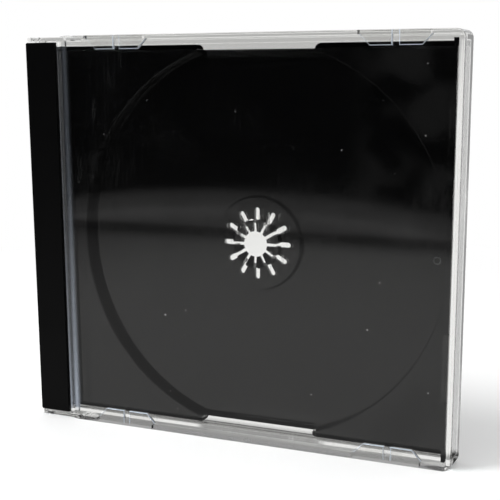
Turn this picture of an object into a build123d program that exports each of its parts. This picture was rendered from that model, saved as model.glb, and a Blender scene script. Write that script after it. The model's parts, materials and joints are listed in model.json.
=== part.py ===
"""CD jewel case: a clear lid hinged to a clear back case that holds a black disc tray.

The case stands on its long bottom edge. X runs from the spine to the opening side, Y from the
front of the lid to the back panel, and Z up. The origin is under the middle of the case.
Sketches are drawn in case coordinates: across from the spine, deep from the lid's outer face,
and high from the bottom edge. Each moulding is the same top and bottom, so its lower half
carries the details and is mirrored. Lengths are in millimetres.
"""
import os
from math import sqrt

from build123d import *

# Disc that the case is made for
disc_diameter = 120.0
disc_hole = 15.0
disc_thick = 1.2

# Case
case_depth = 10.2
case_end_margin = 2.5
corner_radius = 2.4
edge_round = 0.3

# Front lid
lid_panel = 1.2
lid_wall = 1.2
lid_left = 12.0
stop_wall = 1.2
stop_gap = 0.3
lid_back_gap = 0.1
lid_relief = 0.4
relief_flat = 1.4
relief_ramp = 1.4

# Booklet tabs of the lid
tab_inset = 20.1
tab_root = 21.0
tab_tip = 15.2
tab_reach = 4.2
tab_thick = 1.0
tab_round = 0.3
tab_split = 2.0
tab_gap = 0.3

# Hinge between the lid's arms and the ears of the back case
pivot_behind_ear = 2.0
arm_front = 0.3
arm_spine_gap = 0.25
arm_spine_cut = 0.4
arm_back_gap = 0.25
arm_root = 5.0
arm_step = 0.3
pin_radius = 1.3
pin_lead = 0.3
pin_inset = 0.1
pin_clearance = 0.06
ear_gap = 0.1
ear_corner = 1.0
ear_foot_gap = 0.4
ear_slope = 2.9
swing_clearance = 0.15

# Back case
back_panel = 1.2
back_wall = 1.2
side_wall = 2.0
front_gap = 0.15
lug_inset = 20.2
lug_length = 20.3
lug_reach = 1.8
lug_thick = 1.1

# Disc tray
tray_wall = 1.1
tray_end_gap = 0.3
tray_side_gap = 0.15
tray_back_gap = 0.1
well_clearance = 0.15
well_step = 3.3
well_left_margin = 6.65
well_right_gap = 0.1
well_round = 0.3
notch_width = 38.0
notch_inset = 1.5
notch_corner_share = 0.65
notch_ramp = 2.4
notch_ramp_depth = 0.6
shoulder_round = 2.2
flange_thick = 1.1
flange_gap = 0.3
flange_overhang = 0.7
lug_clearance = 0.2

# Hinge strip of the tray
strip_left = 0.3
strip_front = 0.25
strip_wall = 1.2
strip_round = 0.6
strip_lid_gap = 0.3
strip_arm_gap = 0.5
strip_side_gap = 0.2
strip_ear_gap = 0.15

# Hub rosette of the tray
hub_rise = 1.7
hub_radius = 14.0
hub_flare = 0.6
crown_rise = 2.1
crown_clearance = 0.15
crown_wall = 1.0
crown_round = 0.5
barb_reach = 0.25
barb_height = 0.2
hub_hole = 7.8
tooth_count = 12
slot_narrow = 0.95
slot_wide = 1.6
slot_reach = 11.0

# Round mould mark on the floor of the well
mark_diameter = 2.1
mark_depth = 0.15
mark_across = 55.8
mark_drop = 2.0

# Across, from the spine
well_radius = disc_diameter / 2 + well_clearance
strip_right = lid_left - strip_lid_gap
well_middle = strip_right + well_left_margin + well_radius
flange_inside = well_middle + well_radius + well_right_gap
tray_right = flange_inside + flange_thick
side_inside = tray_right + tray_side_gap
case_width = side_inside + side_wall

# Deep, from the lid's outer face
back_inside = case_depth - back_panel
lid_depth = back_inside - lid_back_gap
tray_back = back_inside - tray_back_gap
floor_front = tray_back - tray_wall
shoulder_front = floor_front - well_step
hub_front = floor_front - hub_rise
crown_front = hub_front - crown_rise
stop_depth = shoulder_front - stop_gap
tab_front = shoulder_front - tab_gap - tab_thick
ear_front = strip_front + strip_wall + strip_ear_gap
pivot_deep = ear_front + pivot_behind_ear
arm_back = 2 * pivot_deep - arm_front
arm_reach = back_inside - arm_back_gap - pivot_deep
wall_front = lid_panel + front_gap
lug_back = wall_front + lug_thick

# High, from the bottom edge
case_height = disc_diameter + 2 * case_end_margin
half_height = case_height / 2
pin_base = lid_wall + arm_step
ear_low = pin_base + ear_gap
ear_high = ear_low + back_wall
strip_low = pin_base + strip_arm_gap
tray_low = ear_high + tray_end_gap
notch_high = half_height - sqrt(well_radius**2 - (notch_width / 2) ** 2)
notch_corner = notch_corner_share * (notch_high - tray_low)

# The arm's round turns about the pivot, cut flat at the spine, and the tray's strip stays clear
# of the lid's stop wall as it swings
pivot_across = arm_spine_gap + arm_reach - arm_spine_cut
swing_radius = lid_left - pivot_across - swing_clearance

middle_plane = Plane.XY.offset(half_height)
hub_plane = Plane(
    origin=(well_middle - case_width / 2, -case_depth / 2, half_height),
    x_dir=(1, 0, 0),
    z_dir=(0, 0, 1),
)
hub_axis = Axis(hub_plane.origin, (0, 1, 0))
os.makedirs("parts", exist_ok=True)


def layer(deep):
    """Plane parallel to the lid: x across from the spine, y high from the bottom edge."""
    corner = (-case_width / 2, deep - case_depth / 2, 0)
    return Plane(origin=corner, x_dir=(1, 0, 0), z_dir=(0, -1, 0))


def level(high):
    """Plane seen from above: x across from the spine, y deep from the lid's outer face."""
    corner = (-case_width / 2, -case_depth / 2, high)
    return Plane(origin=corner, x_dir=(1, 0, 0), z_dir=(0, 0, 1))


def span(left, low, right, high, mode=Mode.ADD):
    """Rectangle between two corners, in the current sketch."""
    with Locations((left, low)):
        Rectangle(right - left, high - low, align=(Align.MIN, Align.MIN), mode=mode)


def well_outline(grow=0.0, mode=Mode.ADD):
    """Disc well with its two finger notches, grown by a wall, in the current sketch."""
    with Locations((well_middle, half_height)):
        Circle(well_radius + grow, mode=mode)
        Rectangle(notch_width + 2 * grow, case_height, mode=mode)


def side(across):
    """Plane seen from the opening side: x deep from the lid's outer face, y high from the edge."""
    origin = (across - case_width / 2, -case_depth / 2, 0)
    return Plane(origin=origin, x_dir=(0, 1, 0), z_dir=(1, 0, 0))


def deep_edges(part):
    """Edges that run from front to back."""
    return part.edges().filter_by(Axis.Y)


with BuildPart() as front_lid:
    # The panel and side walls are one shallow box, open at the opening side
    with BuildSketch(layer(0)):
        span(lid_left, 0, case_width, case_height)
    extrude(amount=-lid_depth)
    fillet(deep_edges(front_lid).group_by(Axis.X)[-1], corner_radius)
    with BuildSketch(layer(lid_panel)):
        span(lid_left + stop_wall, lid_wall, case_width, case_height - lid_wall)
    extrude(amount=-lid_depth, mode=Mode.SUBTRACT)
    with BuildSketch(layer(stop_depth)):
        span(lid_left, lid_wall, lid_left + stop_wall, case_height - lid_wall)
    extrude(amount=-lid_depth, mode=Mode.SUBTRACT)
    fillet(front_lid.faces().sort_by(Axis.Y)[0].edges(), edge_round)

    # Relief that sets the wall's outside back at the hinge
    with BuildSketch(layer(0)):
        with BuildLine():
            Polyline(
                (lid_left, 0),
                (lid_left + relief_flat + relief_ramp, 0),
                (lid_left + relief_flat, lid_relief),
                (lid_left, lid_relief),
                close=True,
            )
        make_face()
    extrude(amount=-lid_depth, mode=Mode.SUBTRACT)

    # Booklet tabs with a rounded rim, each with the window that its mould core leaves in the wall
    tab_plane = tab_front - case_depth / 2
    for middle in (lid_left + tab_inset, case_width - tab_inset):
        with BuildSketch(layer(tab_front)):
            with BuildLine():
                Polyline(
                    (middle - tab_root / 2, lid_wall / 2),
                    (middle - tab_root / 2, lid_wall),
                    (middle - tab_tip / 2, tab_reach),
                    (middle + tab_tip / 2, tab_reach),
                    (middle + tab_root / 2, lid_wall),
                    (middle + tab_root / 2, lid_wall / 2),
                    close=True,
                )
            make_face()
            span(middle - tab_split / 2, lid_wall, middle + tab_split / 2, tab_reach, Mode.SUBTRACT)
        extrude(amount=-tab_thick)
        tab_left = middle - case_width / 2 - tab_root / 2
        rim = front_lid.edges().filter_by_position(Axis.X, tab_left, tab_left + tab_root)
        rim = rim.filter_by_position(Axis.Y, tab_plane - tab_round, tab_plane + tab_round)
        fillet(rim.filter_by_position(Axis.Z, lid_wall + tab_round, tab_reach + tab_round), tab_round)
        with BuildSketch(layer(lid_panel)):
            span(middle - tab_root / 2, 0, middle + tab_root / 2, lid_wall)
        extrude(amount=lid_panel - tab_front, mode=Mode.SUBTRACT)

    # Hinge arm and its inward pin
    with BuildSketch(level(lid_relief)):
        with Locations((pivot_across, pivot_deep)):
            Circle(arm_reach)
        span(pivot_across, arm_front, lid_left + arm_root, arm_back)
        span(arm_spine_gap, arm_front, lid_left + arm_root, arm_back, Mode.INTERSECT)
    extrude(amount=pin_base - lid_relief)
    with BuildSketch(level(pin_base)):
        with Locations((pivot_across, pivot_deep)):
            Circle(pin_radius)
    extrude(amount=ear_high - pin_inset - pin_base)
    chamfer(front_lid.faces().filter_by(Axis.Z).sort_by(Axis.X)[0].edges(), pin_lead)

    split(bisect_by=middle_plane, keep=Keep.BOTTOM)
    mirror(about=middle_plane)

front_lid.part.label = "front_lid"
export_step(front_lid.part, "parts/front_lid.step")

with BuildPart() as back_case:
    # Back panel
    with BuildSketch(layer(back_inside)):
        span(0, 0, case_width, case_height)
    extrude(amount=-back_panel)
    fillet(deep_edges(back_case), corner_radius)
    fillet(back_case.faces().sort_by(Axis.Y)[-1].edges(), edge_round)

    # Spine wall and opening-side wall
    with BuildSketch(level(ear_low)):
        span(0, ear_front, back_wall, back_inside)
        span(side_inside, wall_front, case_width, back_inside)
    extrude(amount=half_height)

    # Lower wall, which rises to an ear with the hinge bore at the spine
    ear_foot = lid_left - ear_foot_gap
    wall_rise = stop_depth + stop_gap - ear_front
    with BuildSketch(level(ear_low)) as wall_outline:
        with BuildLine():
            Polyline(
                (0, back_inside),
                (0, ear_front),
                (ear_foot - ear_slope, ear_front),
                (ear_foot, ear_front + wall_rise),
                (case_width, ear_front + wall_rise),
                (case_width, back_inside),
                close=True,
            )
        make_face()
        with Locations((pivot_across, pivot_deep)):
            Circle(pin_radius + pin_clearance, mode=Mode.SUBTRACT)
    extrude(amount=back_wall)
    fillet(back_case.edges().filter_by(Axis.Z).group_by(Axis.Y)[0].group_by(Axis.X)[0], ear_corner)

    # Lug that the tray's flange snaps under
    with BuildSketch(layer(wall_front)):
        span(side_inside - lug_reach, lug_inset, side_inside, lug_inset + lug_length)
    extrude(amount=-lug_thick)

    split(bisect_by=middle_plane, keep=Keep.BOTTOM)
    mirror(about=middle_plane)

back_case.part.label = "back_case"
export_step(back_case.part, "parts/back_case.step")

with BuildPart() as disc_tray:
    # Corner shoulders at full height, then the disc well and finger notches cut down to the floor
    with BuildSketch(layer(shoulder_front)):
        span(strip_right - strip_wall, tray_low, tray_right, case_height - tray_low)
    extrude(amount=shoulder_front - tray_back)
    fillet(disc_tray.faces().sort_by(Axis.Y)[0].edges().filter_by(Axis.X), shoulder_round)
    with BuildSketch(layer(shoulder_front)) as well:
        well_outline()
        span(0, 0, case_width, tray_low)
        fillet(well.vertices().group_by(Axis.Y)[1].sort_by(Axis.X)[1:3], notch_corner)
    extrude(amount=shoulder_front - floor_front, mode=Mode.SUBTRACT)

    # The floor stands back in the finger notch
    notch_low = tray_low + notch_inset
    with BuildSketch(layer(floor_front)):
        add(well.sketch_local)
        span(0, 0, case_width, notch_low, Mode.INTERSECT)
    extrude(amount=floor_front - tray_back, mode=Mode.SUBTRACT)

    # Rounded upper edge of the well, and the floor's ramp down to its edge in the finger notch
    round_middle = (well_radius + well_round, shoulder_front + well_round)
    with BuildSketch(hub_plane):
        with Locations((well_radius, shoulder_front)):
            Rectangle(well_round, well_round, align=(Align.MIN, Align.MIN))
        with Locations(round_middle):
            Circle(well_round, mode=Mode.SUBTRACT)
    revolve(axis=hub_axis, mode=Mode.SUBTRACT)
    with BuildSketch(side(well_middle)):
        with BuildLine():
            Polyline(
                (floor_front, notch_low),
                (floor_front, notch_low + notch_ramp),
                (floor_front + notch_ramp_depth, notch_low),
                close=True,
            )
        make_face()
    extrude(amount=notch_width / 2, both=True, mode=Mode.SUBTRACT)

    # Undersides hollowed to an even wall
    with BuildSketch(layer(shoulder_front + tray_wall)):
        span(
            strip_right + tray_wall,
            tray_low + tray_wall,
            tray_right - tray_wall,
            case_height - tray_low - tray_wall,
        )
        well_outline(tray_wall, Mode.SUBTRACT)
    extrude(amount=-case_depth, mode=Mode.SUBTRACT)

    # Upright flange beside the opening-side wall, cut back behind the lug
    flange_front = lid_panel + flange_gap
    with BuildSketch(layer(flange_front)):
        span(flange_inside, tray_low - flange_overhang, tray_right, half_height)
    extrude(amount=flange_front - shoulder_front + tab_gap)
    with BuildSketch(layer(shoulder_front - tab_gap)):
        span(flange_inside, tray_low, tray_right, half_height)
    extrude(amount=shoulder_front - tab_gap - floor_front)
    with BuildSketch(layer(flange_front)):
        span(
            flange_inside,
            lug_inset - lug_clearance,
            tray_right,
            lug_inset + lug_length + lug_clearance,
        )
    extrude(amount=flange_front - lug_back - lug_clearance, mode=Mode.SUBTRACT)

    # Hinge strip: a channel whose lid-side corner follows the swing of the lid
    swing_face = pivot_deep - strip_front
    flat_right = pivot_across + sqrt(swing_radius**2 - swing_face**2)
    curve_deep = pivot_deep - sqrt(swing_radius**2 - (strip_right - pivot_across) ** 2)
    with BuildSketch(level(strip_low)):
        with BuildLine():
            Polyline(
                (flat_right, strip_front),
                (strip_left, strip_front),
                (strip_left, strip_front + strip_wall),
                (strip_right - strip_wall, strip_front + strip_wall),
                (strip_right - strip_wall, curve_deep),
                (strip_right, curve_deep),
            )
            RadiusArc((strip_right, curve_deep), (flat_right, strip_front), -swing_radius)
        make_face()
    extrude(amount=half_height)
    fillet(deep_edges(disc_tray).group_by(Axis.X)[0].group_by(Axis.Z)[0], strip_round)
    with BuildSketch(level(tray_low)):
        span(back_wall + strip_side_gap, strip_front, strip_right, tray_back)
        span(
            back_wall + strip_side_gap + tray_wall,
            strip_front,
            strip_right - strip_wall,
            tray_back,
            Mode.SUBTRACT,
        )
        span(strip_right - strip_wall, strip_front, strip_right, curve_deep, Mode.SUBTRACT)
        span(strip_left, strip_front, strip_right, strip_front + strip_wall, Mode.SUBTRACT)
    extrude(amount=half_height)
    with BuildSketch(level(tray_low)):
        span(
            back_wall + strip_side_gap,
            strip_front + strip_wall,
            strip_right - strip_wall,
            tray_back,
        )
    extrude(amount=tray_wall)

    # Hub: a raised round step with a crown of teeth that grips the disc's hole
    crown_radius = disc_hole / 2 - crown_clearance
    barb_low = hub_front - disc_thick
    with BuildSketch(layer(floor_front)):
        with Locations((well_middle, half_height)):
            Circle(hub_radius)
    extrude(amount=-tray_wall, mode=Mode.SUBTRACT)
    with BuildSketch(hub_plane):
        with BuildLine():
            Polyline(
                (hub_hole / 2, crown_front + crown_wall),
                (hub_hole / 2, crown_front + crown_round),
                (crown_radius - crown_round, crown_front),
                (crown_radius, crown_front + crown_round),
                (crown_radius + barb_reach, barb_low - barb_height),
                (crown_radius, barb_low),
                (crown_radius, hub_front),
                (hub_radius, hub_front),
                (hub_radius + hub_flare, floor_front),
                (hub_radius + hub_flare, tray_back),
                (hub_radius - tray_wall, tray_back),
                (hub_radius - tray_wall, hub_front + crown_wall),
                (crown_radius - crown_wall, hub_front + crown_wall),
                (crown_radius - crown_wall, crown_front + crown_wall),
                close=True,
            )
        make_face()
    revolve(axis=hub_axis)
    with BuildSketch(layer(crown_front)):
        with Locations((well_middle, half_height)):
            with PolarLocations(0, tooth_count):
                Rectangle(crown_radius, slot_narrow, align=(Align.MIN, Align.CENTER))
            with PolarLocations(crown_radius, tooth_count):
                slot_run = slot_reach - crown_radius - slot_wide / 2
                Rectangle(slot_run, slot_wide, align=(Align.MIN, Align.CENTER))
            with PolarLocations(slot_reach - slot_wide / 2, tooth_count):
                Circle(slot_wide / 2)
    extrude(amount=crown_front - tray_back, mode=Mode.SUBTRACT)

    split(bisect_by=middle_plane, keep=Keep.BOTTOM)
    mirror(about=middle_plane)

    # Shallow round mark that the mould leaves on the floor
    with BuildSketch(layer(floor_front)):
        with Locations((well_middle + mark_across, half_height - mark_drop)):
            Circle(mark_diameter / 2)
    extrude(amount=-mark_depth, mode=Mode.SUBTRACT)

disc_tray.part.label = "disc_tray"
export_step(disc_tray.part, "parts/disc_tray.step")
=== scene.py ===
"""Looks of a clear hinged disc case with a black tray, standing on its long edge on a white floor."""
import json
from math import radians

import bpy
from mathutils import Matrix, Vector


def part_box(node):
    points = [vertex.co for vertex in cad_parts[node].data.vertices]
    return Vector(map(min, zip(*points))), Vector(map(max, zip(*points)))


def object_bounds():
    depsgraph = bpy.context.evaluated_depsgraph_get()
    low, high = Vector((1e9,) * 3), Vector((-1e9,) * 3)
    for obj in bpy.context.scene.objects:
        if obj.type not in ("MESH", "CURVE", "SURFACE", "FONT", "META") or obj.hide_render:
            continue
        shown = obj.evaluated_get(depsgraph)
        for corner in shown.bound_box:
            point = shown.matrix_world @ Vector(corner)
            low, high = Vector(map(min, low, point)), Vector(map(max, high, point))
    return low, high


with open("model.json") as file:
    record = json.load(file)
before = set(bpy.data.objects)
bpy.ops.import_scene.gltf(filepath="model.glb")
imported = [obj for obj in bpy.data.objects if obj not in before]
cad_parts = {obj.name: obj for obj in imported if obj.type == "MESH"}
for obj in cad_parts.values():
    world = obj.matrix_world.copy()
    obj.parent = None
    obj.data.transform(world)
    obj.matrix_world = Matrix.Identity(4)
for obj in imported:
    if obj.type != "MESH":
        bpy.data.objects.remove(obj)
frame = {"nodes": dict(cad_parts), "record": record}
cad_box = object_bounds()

# Camera: where the photograph was taken from, in metres and degrees
CAMERA_PLACE = (0.13970, -0.29210, 0.11077)
CAMERA_TURN = (78.481, 0.014, 23.306)
CAMERA_LENS = 76.41
CAMERA_SENSOR = 36.0
CAMERA_SHIFT = (-0.0515, 0.0969)

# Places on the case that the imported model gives
CASE_HEIGHT = cad_box[1].z
HALF_HEIGHT = CASE_HEIGHT / 2
STRIP_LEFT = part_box("disc_tray")[0].x
HUB = next(mount["pos_m"] for mount in frame["record"]["mounts"] if mount["name"] == "disc_hub")
HUB_PLACE = (HUB[0], HUB[2])

# Places on the mouldings' faces, across and high, in metres. A pair is where a change starts and ends.
STRIP_WIDTH = 0.0114
STRIP_EDGE = STRIP_LEFT + STRIP_WIDTH
STRIP_FADE = 0.0002
# Where the shoulders' outer edges lose their reflection, as painted shade
SHOULDER_EDGE = (0.0573, 0.0581)
WELL_RADIUS = 0.06015
WALL_NEAR = (0.00030, 0.00010)
# Heights between which the painted shade on the well's wall grows
WALL_SHADE_HEIGHTS = (0.045, 0.085)
MARK_PLACE = (0.0633, 0.0605)
MARK_RADIUS = 0.00100
MARK_BURR = (0.00016, 0.00003)
# Lid's left edge and the width of the painted light streaks along its stop wall
LID_LEFT = -0.0590
STREAKS_WIDTH = 0.0045

# Booklet tabs of the lid: trapezoids, split in the middle, and the painted highlights on their rounded
# rims
TAB_PLACES = (-0.0389, 0.0509)
TAB_TIP_HIGH = 0.0583
TAB_TIP_HALF = 0.0076
TAB_SLANT = 0.97
TAB_SPLIT_HALF = 0.0010
TAB_FRONT = -0.00195
RIM_WIDTH = 0.00030
RIM_OUTSIDE = 0.00008
RIM_DEPTH = 0.0005
RIM_HIGHLIGHT_LEVEL = 0.8

# Clear plastic
CLEAR_COLOR = (0.955, 0.955, 0.945, 1.0)
CLEAR_IOR = 1.47
CLEAR_ROUGHEST = 0.035
CLEAR_DUST = (0.75, 0.75, 0.74, 1.0)
CLEAR_DUST_SHARE = 0.4
# Colour of the painted light on the lid's stop-wall streaks and tab rims
PAINTED_EDGE_LIGHT = (0.78, 0.86, 1.0, 1.0)
SHADOW_COLOR = (0.86, 0.88, 0.88, 1.0)

# Black plastic
BLACK_COLOR = (0.0009, 0.0009, 0.0010, 1.0)
BLACK_IOR = 1.59
BLACK_DUST = (0.55, 0.56, 0.56, 1.0)
BLACK_DUST_SHARE = 0.30
TRAY_ROUGHNESS = (0.03, 0.07)
STRIP_ROUGHNESS = 0.42
STRIP_MATT = 0.80
# Share of the well wall's reflection taken away, low and high, as painted shade
WALL_SHADE_SHARE = (0.18, 0.80)
SMUDGE_MATT = 0.20

# Floor
FLOOR_REACH = 3.0
FLOOR_COLOR = (0.95, 0.95, 0.95, 1.0)
FLOOR_FADE = (0.22, 0.42)
FLOOR_BEHIND = (0.010, 0.016)
FLOOR_FAR = (0.09, 0.30)
FLOOR_LEFT = (-0.40, -0.14)
FLOOR_LEFT_SHARE = (0.4, 1.0)

# Dark studio flag that the glossy front mirrors, with a low light arch along its foot
FLAG_AWAY = 0.42
FLAG_LEFT = -0.75
FLAG_RIGHT = 0.45
FLAG_HEIGHT = 0.45
ARCH_MIDDLE = -0.19
ARCH_HEIGHT = 0.032
ARCH_DROP = 0.5
FOOT_RISE = (0.002, 0.009)
FOOT_SHARE = 0.30
FOLDS_FROM = (-0.115, -0.085)
FOLDS_LEVEL = 0.035

# How bright the studio is where the plastic shows it instead of the camera seeing it, and the parts of
# a ray's direction between which one side of it passes into another
BEHIND_LEVEL = 1.0
ABOVE_LEVEL = 0.50
# Floor under and in front of the case where the plastic shows it: grey, as painted shadow
FLOOR_SHADE_THROUGH = 0.40
ROOM_LEVEL = 0.003
ROOM_LEFT_COLOR = (0.08, 0.09, 0.12, 1.0)
ROOM_LIT_LEVEL = 0.30
HORIZON = (-0.03, 0.06)
ROOM_LEFT = (-0.62, -0.80)
ROOM_RIGHT = (0.55, 0.75)
ROOM_BEHIND = (0.05, 0.35)
ROOM_ABOVE = (0.80, 0.92)

# Grey that light trapped inside the plastic's corners comes out with, and from how many mirrorings on
TRAPPED_LEVEL = 0.40
TRAPPED_TIMES = 3

# Grey card behind the case: where it stands, as sideways over backward, and how bright it is
CARD_HEADING = -0.450
CARD_HALF = 0.068
CARD_FADE = 0.01
CARD_FOOT = (0.02, 0.06)
CARD_LEVEL = 0.36

# Light on the object
SOFT_LEVEL = 0.77
KEY_PLACE = (-0.62, -0.42, 0.85)
KEY_TARGET = (0.0, 0.0, 0.04)
KEY_SIZE = 0.40
KEY_WATTS = 7.6


def grey(level):
    """Grey colour of that brightness."""
    return (level, level, level, 1.0)


def material(name):
    """New node material with its own output and nothing else."""
    made = bpy.data.materials.new(name)
    made.use_nodes = True
    made.node_tree.nodes.clear()
    output = made.node_tree.nodes.new("ShaderNodeOutputMaterial")
    return made, made.node_tree, output


def put(tree, node, name, value):
    """Set one input of a node to a value, or link a socket to it."""
    if isinstance(value, bpy.types.NodeSocket):
        tree.links.new(value, node.inputs[name])
    else:
        node.inputs[name].default_value = value


def math_node(tree, operation, first, second=None, clamp=False):
    """Math node whose inputs are numbers or sockets."""
    node = tree.nodes.new("ShaderNodeMath")
    node.operation = operation
    node.use_clamp = clamp
    put(tree, node, 0, first)
    if second is not None:
        put(tree, node, 1, second)
    return node.outputs[0]


def product(tree, first, *others):
    """All factors multiplied."""
    for other in others:
        first = math_node(tree, "MULTIPLY", first, other)
    return first


def apart(tree, first, second):
    """How far two numbers are from each other."""
    return math_node(tree, "ABSOLUTE", math_node(tree, "SUBTRACT", first, second))


def distance(tree, x, z, middle):
    """Distance from an axis that runs front to back."""
    across = math_node(tree, "SUBTRACT", x, middle[0])
    high = math_node(tree, "SUBTRACT", z, middle[1])
    return math_node(tree, "SQRT", math_node(
        tree, "ADD", math_node(tree, "POWER", across, 2.0), math_node(tree, "POWER", high, 2.0)))


def map_range(tree, value, span, onto=(0.0, 1.0), interpolation="LINEAR"):
    """Value moved from one span onto another, and held at its ends."""
    node = tree.nodes.new("ShaderNodeMapRange")
    node.interpolation_type = interpolation
    put(tree, node, "Value", value)
    put(tree, node, "From Min", span[0])
    put(tree, node, "From Max", span[1])
    put(tree, node, "To Min", onto[0])
    put(tree, node, "To Max", onto[1])
    return node.outputs["Result"]


def smooth_step(tree, value, zero, one):
    """0 on one side, 1 on the other, and smooth between."""
    return map_range(tree, value, (zero, one), interpolation="SMOOTHSTEP")


def ramp(tree, value, stops):
    """Colour ramp from a list of (place, grey)."""
    node = tree.nodes.new("ShaderNodeValToRGB")
    elements = node.color_ramp.elements
    while len(elements) < len(stops):
        elements.new(0.5)
    for element, (place, level) in zip(elements, stops):
        element.position = place
        element.color = grey(level)
    put(tree, node, "Fac", value)
    return node.outputs["Color"]


def object_point(tree):
    """Object coordinates and their three parts, in metres."""
    place = tree.nodes.new("ShaderNodeTexCoord").outputs["Object"]
    parts = tree.nodes.new("ShaderNodeSeparateXYZ")
    put(tree, parts, 0, place)
    return (place, *parts.outputs)


def noise(tree, place, scale, detail=2.0):
    """Noise, 0 to 1 and mostly near 0.5."""
    node = tree.nodes.new("ShaderNodeTexNoise")
    put(tree, node, "Vector", place)
    put(tree, node, "Scale", scale)
    put(tree, node, "Detail", detail)
    return node.outputs["Fac"]


def specks(tree, place, scale, size, share):
    """Small round specks: 1 inside a speck, 0 elsewhere. Share of the cells has one."""
    cells = tree.nodes.new("ShaderNodeTexVoronoi")
    put(tree, cells, "Vector", place)
    put(tree, cells, "Scale", scale)
    near = smooth_step(tree, cells.outputs["Distance"], size, size * 0.5)
    pick = tree.nodes.new("ShaderNodeSeparateColor")
    put(tree, pick, 0, cells.outputs["Color"])
    return product(tree, near, math_node(tree, "LESS_THAN", pick.outputs[0], share))


def scratches(tree, place, scale, turn, width):
    """Sparse hairline scratches that run along one direction, turned in degrees."""
    turned = tree.nodes.new("ShaderNodeMapping")
    put(tree, turned, "Vector", place)
    put(tree, turned, "Scale", (1.0, 1.0, 0.035))
    put(tree, turned, "Rotation", (0.0, radians(turn), 0.0))
    line = noise(tree, turned.outputs["Vector"], scale, detail=3.0)
    hair = smooth_step(tree, apart(tree, line, 0.5), width, 0.0)
    where = smooth_step(tree, noise(tree, place, 35.0, detail=1.0), 0.52, 0.66)
    return product(tree, hair, where)


def bump(tree, height, strength, depth):
    """Normal from a height socket."""
    node = tree.nodes.new("ShaderNodeBump")
    put(tree, node, "Height", height)
    put(tree, node, "Strength", strength)
    put(tree, node, "Distance", depth)
    return node.outputs["Normal"]


def surface(tree, kind, color):
    """Plain shader of one kind and colour."""
    node = tree.nodes.new(kind)
    put(tree, node, "Color", color)
    return node.outputs[0]


def mix_shader(tree, factor, first, second):
    """Second shader over the first, by a number or a socket."""
    node = tree.nodes.new("ShaderNodeMixShader")
    for slot, value in enumerate((factor, first, second)):
        put(tree, node, slot, value)
    return node.outputs[0]


def mix_color(tree, factor, first, second):
    """Second colour over the first, each a value or a socket, by a socket."""
    node = tree.nodes.new("ShaderNodeMix")
    node.data_type = "RGBA"
    for slot, value in ((0, factor), (6, first), (7, second)):
        put(tree, node, slot, value)
    return node.outputs[2]


def after(tree, kind, times=1):
    """1 for a ray that the plastic has mirrored or bent this many times or more on its way."""
    light = tree.nodes.new("ShaderNodeLightPath")
    return math_node(tree, "GREATER_THAN", light.outputs[kind], times - 0.5)


def painted_rim_highlights(tree, x, y, z):
    """How strong the painted highlight on the rounded rims of the lid's booklet tabs is, 0 elsewhere.
    """
    aside = math_node(tree, "MINIMUM", *[apart(tree, x, place) for place in TAB_PLACES])
    above_tip = math_node(tree, "SUBTRACT", apart(tree, z, HALF_HEIGHT), TAB_TIP_HIGH)
    half = math_node(tree, "ADD", product(tree, above_tip, TAB_SLANT), TAB_TIP_HALF)
    from_side = math_node(tree, "SUBTRACT", half, aside)
    from_split = math_node(tree, "SUBTRACT", aside, TAB_SPLIT_HALF)
    nearest = math_node(tree, "MINIMUM", above_tip, math_node(tree, "MINIMUM", from_side, from_split))
    rim = smooth_step(tree, nearest, RIM_WIDTH, 0.6 * RIM_WIDTH)
    inside = math_node(tree, "GREATER_THAN", nearest, -RIM_OUTSIDE)
    behind_front = math_node(tree, "GREATER_THAN", y, TAB_FRONT)
    before_back = math_node(tree, "LESS_THAN", y, TAB_FRONT + RIM_DEPTH)
    return product(tree, rim, inside, behind_front, before_back, RIM_HIGHLIGHT_LEVEL)


def painted_light_streaks(tree, x, z):
    """Painted light streaks where the lid's stop wall would lead daylight out through its front,
    brighter towards the bottom.
    """
    from_edge = math_node(tree, "SUBTRACT", x, LID_LEFT)
    streaks = ramp(tree, math_node(tree, "DIVIDE", from_edge, STREAKS_WIDTH), [
        (0.0, 0.0), (0.05, 0.8), (0.16, 0.8), (0.24, 0.15), (0.42, 0.2), (0.50, 1.0), (0.64, 0.8),
        (0.72, 0.1), (0.78, 0.35), (0.84, 0.05), (1.0, 0.0)])
    rise = ramp(tree, math_node(tree, "DIVIDE", z, CASE_HEIGHT), [
        (0.0, 0.0), (0.02, 0.0), (0.035, 0.26), (0.08, 0.24), (0.19, 0.15), (0.37, 0.085),
        (0.58, 0.035), (0.80, 0.025), (1.0, 0.022)])
    return product(tree, streaks, rise)


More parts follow.
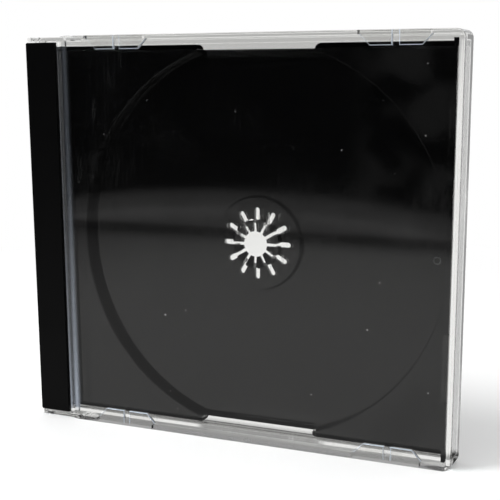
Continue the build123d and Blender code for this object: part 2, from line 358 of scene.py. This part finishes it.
def clear_plastic():
    """Polished clear polystyrene with hairline scratches, a little haze and dust, and painted light on
    its edges.
    """
    made, tree, output = material("clear_plastic")
    place, x, y, z = object_point(tree)
    shader = tree.nodes.new("ShaderNodeBsdfPrincipled")
    put(tree, shader, "Base Color", CLEAR_COLOR)
    put(tree, shader, "IOR", CLEAR_IOR)
    put(tree, shader, "Transmission Weight", 1.0)
    haze = noise(tree, place, 60.0, detail=3.0)
    put(tree, shader, "Roughness", map_range(tree, haze, (0.35, 0.75), (0.0, CLEAR_ROUGHEST)))
    hairs = math_node(tree, "MAXIMUM", scratches(tree, place, 420.0, turn=22.0, width=0.004),
                      scratches(tree, place, 520.0, turn=-64.0, width=0.003))
    put(tree, shader, "Normal", bump(tree, hairs, strength=0.35, depth=0.00005))

    dust = surface(tree, "ShaderNodeBsdfDiffuse", CLEAR_DUST)
    grains = math_node(tree, "MAXIMUM", specks(tree, place, 330.0, size=0.085, share=0.05),
                       specks(tree, place, 90.0, size=0.032, share=0.10))
    whole = mix_shader(tree, product(tree, grains, CLEAR_DUST_SHARE), shader.outputs[0], dust)

    # Painted light: stop-wall streaks and tab-rim highlights, as a pale diffuse colour
    painted_edge_light = surface(tree, "ShaderNodeBsdfDiffuse", PAINTED_EDGE_LIGHT)
    lit = math_node(tree, "MAXIMUM", painted_light_streaks(tree, x, z), painted_rim_highlights(tree, x, y, z))
    whole = mix_shader(tree, lit, whole, painted_edge_light)

    light = tree.nodes.new("ShaderNodeLightPath")
    passing = surface(tree, "ShaderNodeBsdfTransparent", SHADOW_COLOR)
    whole = mix_shader(tree, light.outputs["Is Shadow Ray"], whole, passing)
    put(tree, output, "Surface", whole)
    return made


def matt_and_shade_share(tree, strip, x, z):
    """How matt the black plastic is: the strip is matt; the shoulders' outer edges and the well's wall
    lose their reflection as painted shade.
    """
    # Painted shade: no reflection on the shoulders' outer edges
    edge = smooth_step(tree, apart(tree, z, HALF_HEIGHT), *SHOULDER_EDGE)
    edge = math_node(tree, "SUBTRACT", edge, strip, clamp=True)
    # Painted shade on the well's wall: less reflection towards the top
    from_wall = apart(tree, distance(tree, x, z, HUB_PLACE), WELL_RADIUS)
    wall_shade = map_range(tree, z, WALL_SHADE_HEIGHTS, WALL_SHADE_SHARE, "SMOOTHSTEP")
    wall = product(tree, smooth_step(tree, from_wall, *WALL_NEAR), wall_shade)
    matt = math_node(tree, "MAXIMUM", product(tree, strip, STRIP_MATT), edge)
    return math_node(tree, "MAXIMUM", matt, wall)


def black_plastic():
    """Black polystyrene: glossy tray, matt hinge strip."""
    made, tree, output = material("black_plastic")
    place, x, _, z = object_point(tree)
    strip = smooth_step(tree, x, STRIP_EDGE + STRIP_FADE, STRIP_EDGE - STRIP_FADE)
    shader = tree.nodes.new("ShaderNodeBsdfPrincipled")
    put(tree, shader, "Base Color", BLACK_COLOR)
    put(tree, shader, "IOR", BLACK_IOR)
    rough = tree.nodes.new("ShaderNodeMix")
    put(tree, rough, "Factor", strip)
    haze = noise(tree, place, 45.0, detail=3.0)
    put(tree, rough, "A", map_range(tree, haze, (0.0, 1.0), TRAY_ROUGHNESS))
    put(tree, rough, "B", STRIP_ROUGHNESS)
    put(tree, shader, "Roughness", rough.outputs["Result"])

    smudges = smooth_step(tree, noise(tree, place, 30.0), 0.56, 0.70)
    shine = math_node(tree, "SUBTRACT", 1.0, product(tree, smudges, SMUDGE_MATT))
    glossy = math_node(tree, "SUBTRACT", 1.0, matt_and_shade_share(tree, strip, x, z))
    put(tree, shader, "Specular IOR Level", product(tree, shine, glossy))

    grain = product(tree, noise(tree, place, 5200.0), math_node(tree, "ADD", strip, 0.06))
    hairs = product(tree, scratches(tree, place, 380.0, turn=-35.0, width=0.004), 0.3)
    height = math_node(tree, "ADD", grain, hairs)
    put(tree, shader, "Normal", bump(tree, height, strength=0.25, depth=0.00003))

    dust = surface(tree, "ShaderNodeBsdfDiffuse", BLACK_DUST)
    from_rim = apart(tree, distance(tree, x, z, MARK_PLACE), MARK_RADIUS)
    burr = smooth_step(tree, from_rim, *MARK_BURR)
    pale = math_node(tree, "MAXIMUM", specks(tree, place, 260.0, size=0.05, share=0.05), burr)
    whole = mix_shader(tree, product(tree, pale, BLACK_DUST_SHARE), shader.outputs[0], dust)
    put(tree, output, "Surface", whole)
    return made


def trapped(tree, level):
    """The level, or a plain grey for light that was trapped in the plastic on its way."""
    return mix_color(tree, after(tree, "Glossy Depth", TRAPPED_TIMES), level, grey(TRAPPED_LEVEL))


def floor_material():
    """Pale floor that fades to the white background, grey where the plastic mirrors or bends it, with
    painted shadow under and just in front of the case.
    """
    made, tree, output = material("floor_white")
    place, x, y, _ = object_point(tree)
    length = tree.nodes.new("ShaderNodeVectorMath")
    length.operation = "LENGTH"
    put(tree, length, 0, place)
    away = length.outputs["Value"]
    pale = surface(tree, "ShaderNodeBsdfDiffuse", FLOOR_COLOR)
    white = surface(tree, "ShaderNodeEmission", grey(1.0))
    direct = mix_shader(tree, smooth_step(tree, away, *FLOOR_FADE), pale, white)

    # Seen through the plastic: painted shadow under and in front of the case, white behind it and far
    # off
    behind = smooth_step(tree, y, *FLOOR_BEHIND)
    far = smooth_step(tree, away, *FLOOR_FAR)
    beyond = math_node(tree, "MAXIMUM", behind, far)
    under = mix_color(tree, beyond, grey(FLOOR_SHADE_THROUGH), grey(BEHIND_LEVEL))
    through = surface(tree, "ShaderNodeEmission", under)
    bent = mix_shader(tree, after(tree, "Transmission Depth"), direct, through)

    # Floor as the plastic mirrors it in front: painted reflection, near black right under the case as
    # painted shadow, grey further out and darker to the left
    front = ramp(tree, product(tree, y, -1.0), [
        (0.0, 0.02), (0.006, 0.02), (0.010, 0.28), (0.15, 0.285), (0.25, 0.27), (0.34, 0.25),
        (0.372, 0.225), (0.40, 0.11), (0.415, 0.05)])
    dimmed = map_range(tree, x, FLOOR_LEFT, FLOOR_LEFT_SHARE, "SMOOTHSTEP")
    front = mix_color(tree, dimmed, grey(0.0), front)
    level = trapped(tree, mix_color(tree, behind, front, grey(BEHIND_LEVEL)))
    mirrored = surface(tree, "ShaderNodeEmission", level)
    put(tree, output, "Surface", mix_shader(tree, after(tree, "Glossy Depth"), bent, mirrored))
    return made


def flag_material():
    """Dark flag with a soft light arch along its foot, seen only in reflections."""
    made, tree, output = material("flag_dark")
    place, x, _, z = object_point(tree)
    aside = math_node(tree, "POWER", math_node(tree, "SUBTRACT", x, ARCH_MIDDLE), 2.0)
    raised = math_node(tree, "ADD", z, product(tree, aside, ARCH_DROP))
    band = ramp(tree, math_node(tree, "DIVIDE", raised, 2 * ARCH_HEIGHT), [
        (0.0, 0.16), (0.16, 0.165), (0.23, 0.20), (0.29, 0.20), (0.34, 0.14), (0.45, 0.105),
        (0.50, 0.065), (0.525, 0.03), (0.57, 0.006), (1.0, 0.002)])
    foot = math_node(tree, "ADD", smooth_step(tree, z, *FOOT_RISE), FOOT_SHARE, clamp=True)
    folds = smooth_step(tree, noise(tree, place, 26.0, detail=1.0), 0.46, 0.62)
    right = smooth_step(tree, x, *FOLDS_FROM)
    level = math_node(tree, "ADD", product(tree, band, foot), product(tree, folds, right, FOLDS_LEVEL))
    shade = surface(tree, "ShaderNodeEmission", trapped(tree, level))
    clear = surface(tree, "ShaderNodeBsdfTransparent", grey(1.0))
    put(tree, output, "Surface", mix_shader(tree, after(tree, "Glossy Depth"), clear, shade))
    return made


def four_corners(name, corners, made):
    """Flat mesh object from its four corners, outside the object itself."""
    mesh = bpy.data.meshes.new(name)
    mesh.from_pydata(corners, [], [(0, 1, 2, 3)])
    mesh.materials.append(made)
    thing = bpy.data.objects.new(name, mesh)
    bpy.context.scene.collection.objects.link(thing)
    return thing


def add_floor():
    """Floor that the case stands on."""
    reach = FLOOR_REACH
    corners = [(-reach, -reach, 0), (reach, -reach, 0), (reach, reach, 0), (-reach, reach, 0)]
    four_corners("floor", corners, floor_material())


def add_flag():
    """Upright flag in front of the case, with no part in the camera's view or the light."""
    corners = [
        (FLAG_LEFT, -FLAG_AWAY, 0),
        (FLAG_RIGHT, -FLAG_AWAY, 0),
        (FLAG_RIGHT, -FLAG_AWAY, FLAG_HEIGHT),
        (FLAG_LEFT, -FLAG_AWAY, FLAG_HEIGHT),
    ]
    flag = four_corners("flag", corners, flag_material())
    flag.visible_camera = False
    flag.visible_diffuse = False
    flag.visible_shadow = False


def mirrored_room(tree, x, y, z):
    """What a mirrored ray sees past the flag and floor: dark room, lit above, right and behind."""
    left = smooth_step(tree, x, *ROOM_LEFT)
    right = smooth_step(tree, x, *ROOM_RIGHT)
    behind = smooth_step(tree, y, *ROOM_BEHIND)
    above = smooth_step(tree, z, *ROOM_ABOVE)
    off_card = apart(tree, math_node(tree, "DIVIDE", x, y), CARD_HEADING)
    card = product(tree, smooth_step(tree, off_card, CARD_HALF + CARD_FADE, CARD_HALF),
                   smooth_step(tree, z, *CARD_FOOT))
    back = mix_color(tree, card, grey(BEHIND_LEVEL), grey(CARD_LEVEL))
    room = mix_color(tree, left, grey(ROOM_LEVEL), ROOM_LEFT_COLOR)
    room = mix_color(tree, math_node(tree, "MAXIMUM", above, right), room, grey(ROOM_LIT_LEVEL))
    return trapped(tree, mix_color(tree, behind, room, back))


def add_world():
    """White world for the camera, grey through the plastic, and a dark room in what it mirrors."""
    world = bpy.data.worlds.new("studio")
    bpy.context.scene.world = world
    world.use_nodes = True
    tree = world.node_tree
    tree.nodes.clear()
    parts = tree.nodes.new("ShaderNodeSeparateXYZ")
    put(tree, parts, 0, tree.nodes.new("ShaderNodeTexCoord").outputs["Generated"])
    x, y, z = parts.outputs

    light = tree.nodes.new("ShaderNodeLightPath")
    color = mix_color(tree, light.outputs["Is Camera Ray"], grey(SOFT_LEVEL), grey(1.0))
    bent = mix_color(tree, smooth_step(tree, z, *HORIZON), grey(BEHIND_LEVEL), grey(ABOVE_LEVEL))
    color = mix_color(tree, after(tree, "Transmission Depth"), color, bent)
    color = mix_color(tree, after(tree, "Glossy Depth"), color, mirrored_room(tree, x, y, z))
    output = tree.nodes.new("ShaderNodeOutputWorld")
    put(tree, output, "Surface", surface(tree, "ShaderNodeBackground", color))


def add_key_lamp():
    """Large soft lamp from the upper left, whose shadow falls to the right and behind."""
    lamp = bpy.data.lights.new("key", "AREA")
    lamp.shape = "DISK"
    lamp.size = KEY_SIZE
    lamp.energy = KEY_WATTS
    thing = bpy.data.objects.new("key", lamp)
    thing.location = KEY_PLACE
    thing.rotation_euler = (Vector(KEY_TARGET) - Vector(KEY_PLACE)).to_track_quat("-Z", "Y").to_euler()
    thing.visible_glossy = False
    bpy.context.scene.collection.objects.link(thing)


def add_camera():
    """Camera at the photograph's place."""
    lens = bpy.data.cameras.new("camera")
    lens.lens = CAMERA_LENS
    lens.sensor_width = CAMERA_SENSOR
    lens.shift_x, lens.shift_y = CAMERA_SHIFT
    lens.clip_start = 0.01
    thing = bpy.data.objects.new("camera", lens)
    thing.location = CAMERA_PLACE
    thing.rotation_euler = [radians(turn) for turn in CAMERA_TURN]
    bpy.context.scene.collection.objects.link(thing)
    bpy.context.scene.camera = thing


def dress(node, made):
    """Give a CAD node its finish."""
    slots = frame["nodes"][node].data.materials
    slots.clear()
    slots.append(made)


clear = clear_plastic()
dress("front_lid", clear)
dress("back_case", clear)
dress("disc_tray", black_plastic())
add_floor()
add_flag()
add_world()
add_key_lamp()
add_camera()

scene = bpy.context.scene
scene.view_settings.view_transform = "Standard"
scene.cycles.max_bounces = 24
scene.cycles.transmission_bounces = 24
scene.cycles.glossy_bounces = 12
scene.cycles.transparent_max_bounces = 16
